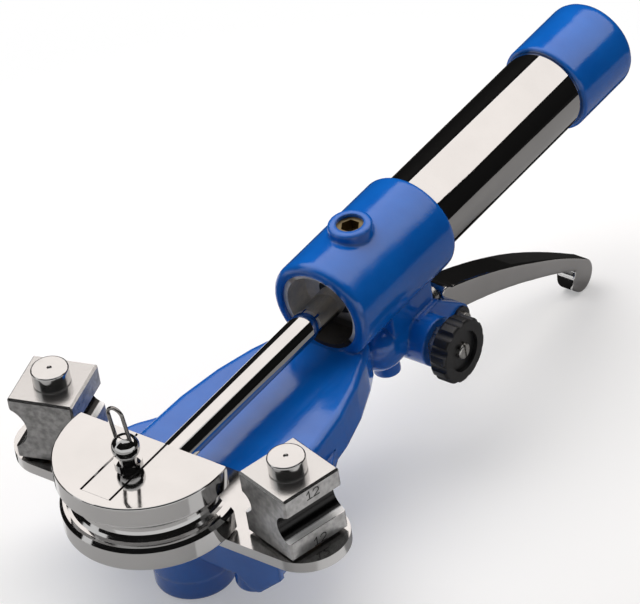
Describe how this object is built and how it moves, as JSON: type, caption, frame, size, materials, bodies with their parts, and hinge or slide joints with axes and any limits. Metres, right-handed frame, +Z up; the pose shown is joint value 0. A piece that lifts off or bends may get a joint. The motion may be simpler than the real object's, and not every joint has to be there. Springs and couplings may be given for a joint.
{
  "type": "tube bender",
  "caption": "Hand-held hydraulic tube bender: cast body with pump lever and tank grip, ram with half-round former, swivelling grooved counter blocks on a cross plate.",
  "frame": {"origin": "centre of the bottom face of the round foot under the cross plate, on the line between the swivel pins", "axes": "+Z up along the foot's axis, +Y back along the ram to the grip, +X to the release knob's side"},
  "size_m": [0.18, 0.4022, 0.1592],
  "materials": {
    "blue_paint": "gloss enamel over cast metal",
    "cap_paint": "gloss enamel",
    "chrome": "bright chrome plate",
    "steel": "turned",
    "dark_steel": "black oxide",
    "spring_steel": "drawn wire",
    "bronze": "turned",
    "brass": "turned",
    "copper": "annealed",
    "rubber": "moulded",
    "black_plastic": "satin moulded"
  },
  "bodies": {
    "frame": {"body_casting": "blue_paint", "cross_plate": "chrome", "plate_screws": "dark_steel", "left_swivel_pin": "chrome", "right_swivel_pin": "chrome", "thrust_washers": "bronze", "swivel_circlips": "dark_steel", "handle_tube": "chrome", "tube_seal": "rubber", "end_cap": "cap_paint", "tank_bladder": "rubber", "pressure_cylinder": "steel", "gland_nut": "steel", "wiper_ring": "rubber", "rod_bush": "bronze", "rod_seal": "rubber", "spring_seat": "dark_steel", "return_spring": "spring_steel", "lever_pivot_pin": "steel", "pivot_clips": "dark_steel", "plunger_spring": "spring_steel", "plunger_seal": "rubber", "intake_spring": "spring_steel", "intake_plug": "steel", "delivery_spring": "spring_steel", "delivery_plug": "steel", "valve_gland_nut": "steel", "spindle_seal": "rubber", "filler_plug": "brass", "filler_washer": "copper"},
    "ram": {"piston": "steel", "piston_seal": "rubber", "piston_nut": "dark_steel", "ram_rod": "chrome", "ram_head": "steel", "former": "chrome"},
    "locking_pin": {"former_pin": "chrome", "pull_wire": "steel"},
    "left_counter_block": {"left_block": "chrome"},
    "right_counter_block": {"right_block": "chrome"},
    "lever": {"pump_lever": "chrome"},
    "plunger": {"pump_plunger": "steel"},
    "intake_valve": {"intake_ball": "steel"},
    "delivery_valve": {"delivery_ball": "steel"},
    "release_valve": {"release_spindle": "steel", "release_knob": "black_plastic", "knob_screw": "steel"}
  },
  "joints": [
    {"name": "ram_slide", "type": "slide", "parent": "frame", "child": "ram", "axis": [0, -1, 0], "range_m": [-0.085, 0.012], "deforming": ["return_spring"]},
    {"name": "locking_pin_lift", "type": "slide", "parent": "ram", "child": "locking_pin", "axis": [0, 0, 1], "range_m": [0, 0.04]},
    {"name": "left_block_swivel", "type": "hinge", "parent": "frame", "child": "left_counter_block", "pos_m": [-0.066, 0, 0.0541], "axis": [0, 0, 1], "continuous": true},
    {"name": "right_block_swivel", "type": "hinge", "parent": "frame", "child": "right_counter_block", "pos_m": [0.066, 0, 0.0541], "axis": [0, 0, 1], "continuous": true},
    {"name": "lever_squeeze", "type": "hinge", "parent": "frame", "child": "lever", "pos_m": [0.012, 0.18, 0.026], "axis": [1, 0, 0], "range_deg": [0, 28], "stiffness_Nm_per_rad": 2, "springref_deg": -28.65},
    {"name": "plunger_stroke", "type": "slide", "parent": "frame", "child": "plunger", "axis": [0, -1, 0], "range_m": [0, 0.0064], "deforming": ["plunger_spring"]},
    {"name": "release_turn", "type": "hinge", "parent": "frame", "child": "release_valve", "pos_m": [0, 0.15304, 0.0345], "axis": [1, 0, 0], "range_deg": [0, 180]},
    {"name": "intake_ball_lift", "type": "slide", "parent": "frame", "child": "intake_valve", "axis": [0, 0, 1], "range_m": [0, 0.0008], "stiffness_N_per_m": 20, "springref_m": -0.001, "deforming": ["intake_spring"]},
    {"name": "delivery_ball_lift", "type": "slide", "parent": "frame", "child": "delivery_valve", "axis": [-1, 0, 0], "range_m": [0, 0.0008], "stiffness_N_per_m": 20, "springref_m": -0.001, "deforming": ["delivery_spring"]}
  ],
  "couplings": [
    {"joint": "plunger_stroke", "follows": "lever_squeeze", "m_per_rad": 0.0125}
  ]
}
